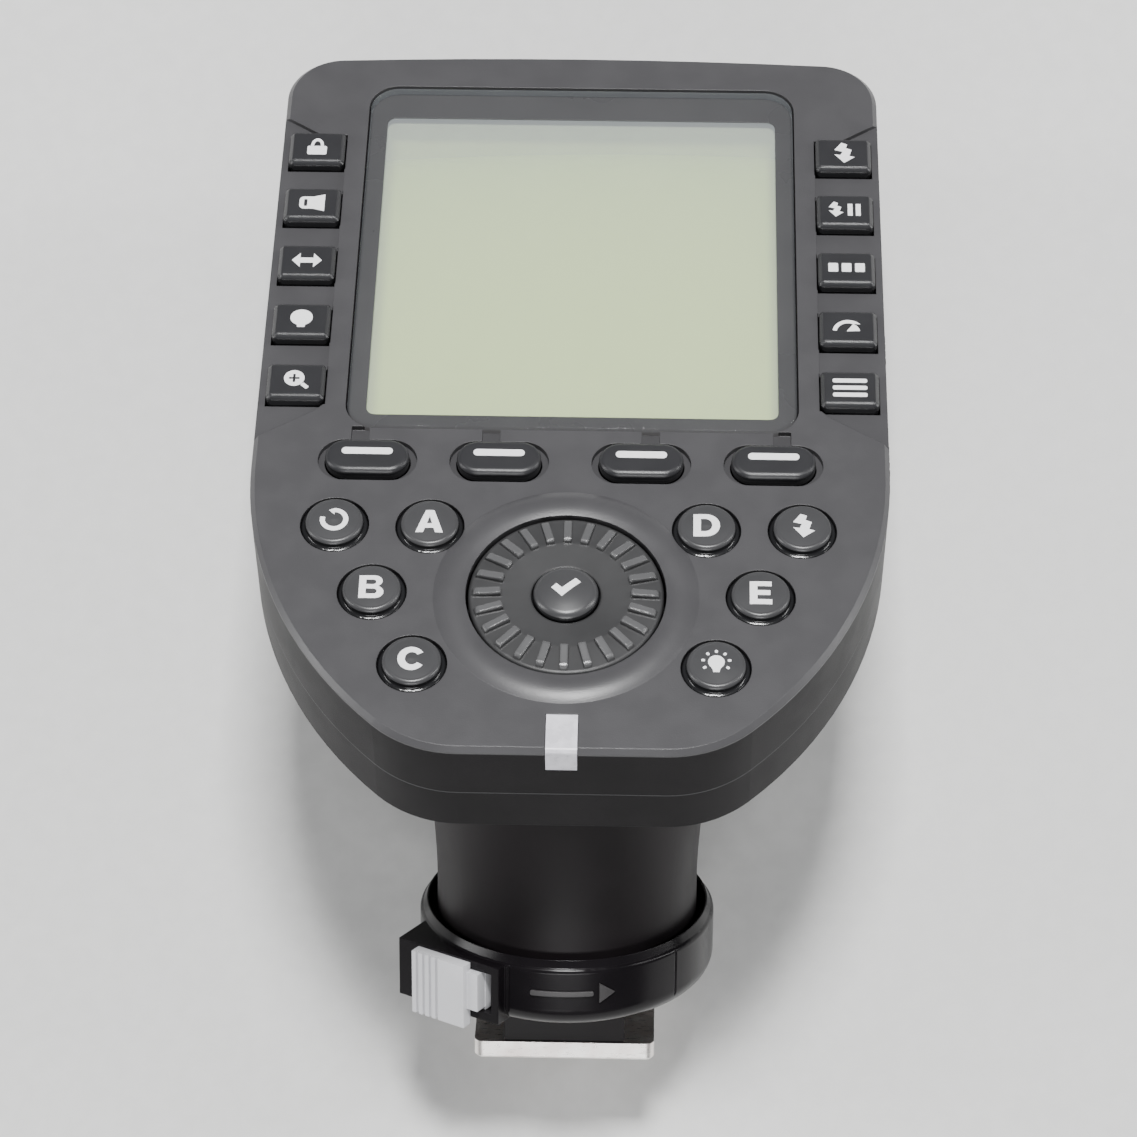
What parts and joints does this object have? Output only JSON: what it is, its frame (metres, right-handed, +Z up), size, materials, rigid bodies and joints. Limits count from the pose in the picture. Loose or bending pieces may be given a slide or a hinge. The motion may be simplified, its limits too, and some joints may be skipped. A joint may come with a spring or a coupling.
{
  "type": "wireless flash trigger",
  "caption": "Camera-mounted radio flash trigger: tilted display body with keys and a ribbed dial, on a flared neck with a twist lock ring and a hot-shoe foot.",
  "frame": {"origin": "centre of the object's footprint on the surface that it lies on, at the surface", "axes": "+Z up from that surface, +Y from the shoe foot towards the case's top end, +X to the right of someone reading the display. The object lies on its back, resting on the shoe plate's rear edge and the case's top rear edge, so its face leans 19.88 degrees towards its top end and its neck's axis leans 49.88 degrees from +Z."},
  "size_m": [0.0644, 0.1076, 0.0586],
  "materials": {
    "case_plastic": "fine spark-eroded texture, dark grey-black",
    "neck_plastic": "fine texture, brownish black",
    "window_plastic": "clear moulding with a blue-black printed border",
    "display_glass": "pale grey-green reflective display",
    "white_plastic": "white diffuser",
    "amber_film": "polyimide film",
    "circuit_board": "green solder mask",
    "grey_rubber": "moulded silicone",
    "chip_black": "moulded epoxy",
    "shield_steel": "tinned steel",
    "red_plastic": "red epoxy lens",
    "red_window": "dark red filter",
    "frosted_plastic": "frosted clear",
    "gloss_black": "smooth semi-gloss black",
    "satin_black": "satin black",
    "cell_jacket": null,
    "nickel_plate": "nickel-plated spring steel",
    "black_rubber": "moulded rubber",
    "switch_plastic": "ribbed",
    "black_screw": "black oxide",
    "shoe_metal": "bright plated plate with a coppery tint",
    "gold_contact": "gold-plated",
    "pin_steel": "polished",
    "gloss_ring": "polished black",
    "pale_plastic": "light grey, ribbed"
  },
  "bodies": {
    "case": {"backlight_tray": "white_plastic", "battery_contacts": "nickel_plate", "battery_springs": "nickel_plate", "buzzer": "chip_black", "case_screws": "black_screw", "dial_encoder": "chip_black", "display_panel": "display_glass", "display_ribbon": "amber_film", "display_window": "window_plastic", "focus_assist_led": "red_plastic", "focus_assist_window": "red_window", "foot_block": "neck_plastic", "front_cover": "case_plastic", "key_mat": "grey_rubber", "lower_cell": "cell_jacket", "main_board": "circuit_board", "neck": "neck_plastic", "processor": "chip_black", "radio_module": "shield_steel", "rear_housing": "case_plastic", "shoe_plate": "shoe_metal", "shoe_screws": "black_screw", "status_led": "white_plastic", "status_light_pipe": "frosted_plastic", "switch_bodies": "chip_black", "sync_socket": "chip_black", "upper_cell": "cell_jacket", "usb_socket": "shield_steel"},
    "mode_button": {"mode_button": "gloss_black"},
    "group_a_button": {"group_a_button": "gloss_black"},
    "group_b_button": {"group_b_button": "gloss_black"},
    "group_c_button": {"group_c_button": "gloss_black"},
    "group_d_button": {"group_d_button": "gloss_black"},
    "group_e_button": {"group_e_button": "gloss_black"},
    "test_flash_button": {"test_flash_button": "gloss_black"},
    "modelling_lamp_button": {"modelling_lamp_button": "gloss_black"},
    "left_key_1": {"left_key_1": "satin_black"},
    "left_key_2": {"left_key_2": "satin_black"},
    "left_key_3": {"left_key_3": "satin_black"},
    "left_key_4": {"left_key_4": "satin_black"},
    "left_key_5": {"left_key_5": "satin_black"},
    "right_key_1": {"right_key_1": "satin_black"},
    "right_key_2": {"right_key_2": "satin_black"},
    "right_key_3": {"right_key_3": "satin_black"},
    "right_key_4": {"right_key_4": "satin_black"},
    "right_key_5": {"right_key_5": "satin_black"},
    "soft_key_1": {"soft_key_1": "satin_black"},
    "soft_key_2": {"soft_key_2": "satin_black"},
    "soft_key_3": {"soft_key_3": "satin_black"},
    "soft_key_4": {"soft_key_4": "satin_black"},
    "select_dial": {"select_dial": "gloss_black"},
    "centre_key": {"centre_key": "gloss_black"},
    "battery_door": {"battery_door": "case_plastic"},
    "socket_cover": {"socket_cover": "black_rubber"},
    "power_switch": {"power_switch": "switch_plastic"},
    "focus_assist_switch": {"focus_assist_switch": "switch_plastic"},
    "shoe_contacts": {"shoe_contacts": "gold_contact"},
    "lock_pin": {"lock_pin": "pin_steel"},
    "lock_ring": {"lock_ring": "gloss_ring"},
    "release_catch": {"release_catch": "pale_plastic"}
  },
  "joints": [
    {"name": "mode_button_press", "type": "slide", "parent": "case", "child": "mode_button", "axis": [0, -0.3401, -0.9404], "range_m": [0, 0.0006], "stiffness_N_per_m": 700},
    {"name": "group_a_button_press", "type": "slide", "parent": "case", "child": "group_a_button", "axis": [0, -0.3401, -0.9404], "range_m": [0, 0.0006], "stiffness_N_per_m": 700},
    {"name": "group_b_button_press", "type": "slide", "parent": "case", "child": "group_b_button", "axis": [0, -0.3401, -0.9404], "range_m": [0, 0.0006], "stiffness_N_per_m": 700},
    {"name": "group_c_button_press", "type": "slide", "parent": "case", "child": "group_c_button", "axis": [0, -0.3401, -0.9404], "range_m": [0, 0.0006], "stiffness_N_per_m": 700},
    {"name": "group_d_button_press", "type": "slide", "parent": "case", "child": "group_d_button", "axis": [0, -0.3401, -0.9404], "range_m": [0, 0.0006], "stiffness_N_per_m": 700},
    {"name": "group_e_button_press", "type": "slide", "parent": "case", "child": "group_e_button", "axis": [0, -0.3401, -0.9404], "range_m": [0, 0.0006], "stiffness_N_per_m": 700},
    {"name": "test_flash_button_press", "type": "slide", "parent": "case", "child": "test_flash_button", "axis": [0, -0.3401, -0.9404], "range_m": [0, 0.0006], "stiffness_N_per_m": 700},
    {"name": "modelling_lamp_button_press", "type": "slide", "parent": "case", "child": "modelling_lamp_button", "axis": [0, -0.3401, -0.9404], "range_m": [0, 0.0006], "stiffness_N_per_m": 700},
    {"name": "left_key_1_press", "type": "slide", "parent": "case", "child": "left_key_1", "axis": [0, -0.3401, -0.9404], "range_m": [0, 0.0006], "stiffness_N_per_m": 700},
    {"name": "left_key_2_press", "type": "slide", "parent": "case", "child": "left_key_2", "axis": [0, -0.3401, -0.9404], "range_m": [0, 0.0006], "stiffness_N_per_m": 700},
    {"name": "left_key_3_press", "type": "slide", "parent": "case", "child": "left_key_3", "axis": [0, -0.3401, -0.9404], "range_m": [0, 0.0006], "stiffness_N_per_m": 700},
    {"name": "left_key_4_press", "type": "slide", "parent": "case", "child": "left_key_4", "axis": [0, -0.3401, -0.9404], "range_m": [0, 0.0006], "stiffness_N_per_m": 700},
    {"name": "left_key_5_press", "type": "slide", "parent": "case", "child": "left_key_5", "axis": [0, -0.3401, -0.9404], "range_m": [0, 0.0006], "stiffness_N_per_m": 700},
    {"name": "right_key_1_press", "type": "slide", "parent": "case", "child": "right_key_1", "axis": [0, -0.3401, -0.9404], "range_m": [0, 0.0006], "stiffness_N_per_m": 700},
    {"name": "right_key_2_press", "type": "slide", "parent": "case", "child": "right_key_2", "axis": [0, -0.3401, -0.9404], "range_m": [0, 0.0006], "stiffness_N_per_m": 700},
    {"name": "right_key_3_press", "type": "slide", "parent": "case", "child": "right_key_3", "axis": [0, -0.3401, -0.9404], "range_m": [0, 0.0006], "stiffness_N_per_m": 700},
    {"name": "right_key_4_press", "type": "slide", "parent": "case", "child": "right_key_4", "axis": [0, -0.3401, -0.9404], "range_m": [0, 0.0006], "stiffness_N_per_m": 700},
    {"name": "right_key_5_press", "type": "slide", "parent": "case", "child": "right_key_5", "axis": [0, -0.3401, -0.9404], "range_m": [0, 0.0006], "stiffness_N_per_m": 700},
    {"name": "soft_key_1_press", "type": "slide", "parent": "case", "child": "soft_key_1", "axis": [0, -0.3401, -0.9404], "range_m": [0, 0.0006], "stiffness_N_per_m": 700},
    {"name": "soft_key_2_press", "type": "slide", "parent": "case", "child": "soft_key_2", "axis": [0, -0.3401, -0.9404], "range_m": [0, 0.0006], "stiffness_N_per_m": 700},
    {"name": "soft_key_3_press", "type": "slide", "parent": "case", "child": "soft_key_3", "axis": [0, -0.3401, -0.9404], "range_m": [0, 0.0006], "stiffness_N_per_m": 700},
    {"name": "soft_key_4_press", "type": "slide", "parent": "case", "child": "soft_key_4", "axis": [0, -0.3401, -0.9404], "range_m": [0, 0.0006], "stiffness_N_per_m": 700},
    {"name": "centre_key_press", "type": "slide", "parent": "case", "child": "centre_key", "axis": [0, -0.3401, -0.9404], "range_m": [0, 0.0005], "stiffness_N_per_m": 700},
    {"name": "dial_turn", "type": "hinge", "parent": "case", "child": "select_dial", "pos_m": [-0.00038, -0.01595, 0.0525], "axis": [0, 0.3401, 0.9404], "continuous": true},
    {"name": "door_slide", "type": "slide", "parent": "case", "child": "battery_door", "axis": [0, 0.9404, -0.3401], "range_m": [0, 0.012]},
    {"name": "cover_swing", "type": "hinge", "parent": "case", "child": "socket_cover", "pos_m": [0.03202, 0.03186, 0.0215], "axis": [0, 0.9404, -0.3401], "range_deg": [0, 110]},
    {"name": "power_slide", "type": "slide", "parent": "case", "child": "power_switch", "axis": [0, 0.9404, -0.3401], "range_m": [0, 0.002]},
    {"name": "assist_slide", "type": "slide", "parent": "case", "child": "focus_assist_switch", "axis": [0, 0.9404, -0.3401], "range_m": [0, 0.002]},
    {"name": "contacts_press", "type": "slide", "parent": "case", "child": "shoe_contacts", "axis": [0, 0.7647, 0.6444], "range_m": [0, 0.00035], "stiffness_N_per_m": 1000},
    {"name": "ring_turn", "type": "hinge", "parent": "case", "child": "lock_ring", "pos_m": [-0.00038, -0.0405, 0.01313], "axis": [0, 0.7647, 0.6444], "range_deg": [0, 75]},
    {"name": "lock_pin_drop", "type": "slide", "parent": "case", "child": "lock_pin", "axis": [0, -0.7647, -0.6444], "range_m": [0, 0.0015]},
    {"name": "catch_slide", "type": "slide", "parent": "lock_ring", "child": "release_catch", "axis": [0.848, -0.3415, 0.4052], "range_m": [0, 0.0012], "stiffness_N_per_m": 300}
  ],
  "couplings": [
    {"joint": "lock_pin_drop", "follows": "ring_turn", "m_per_rad": 0.0011458}
  ]
}
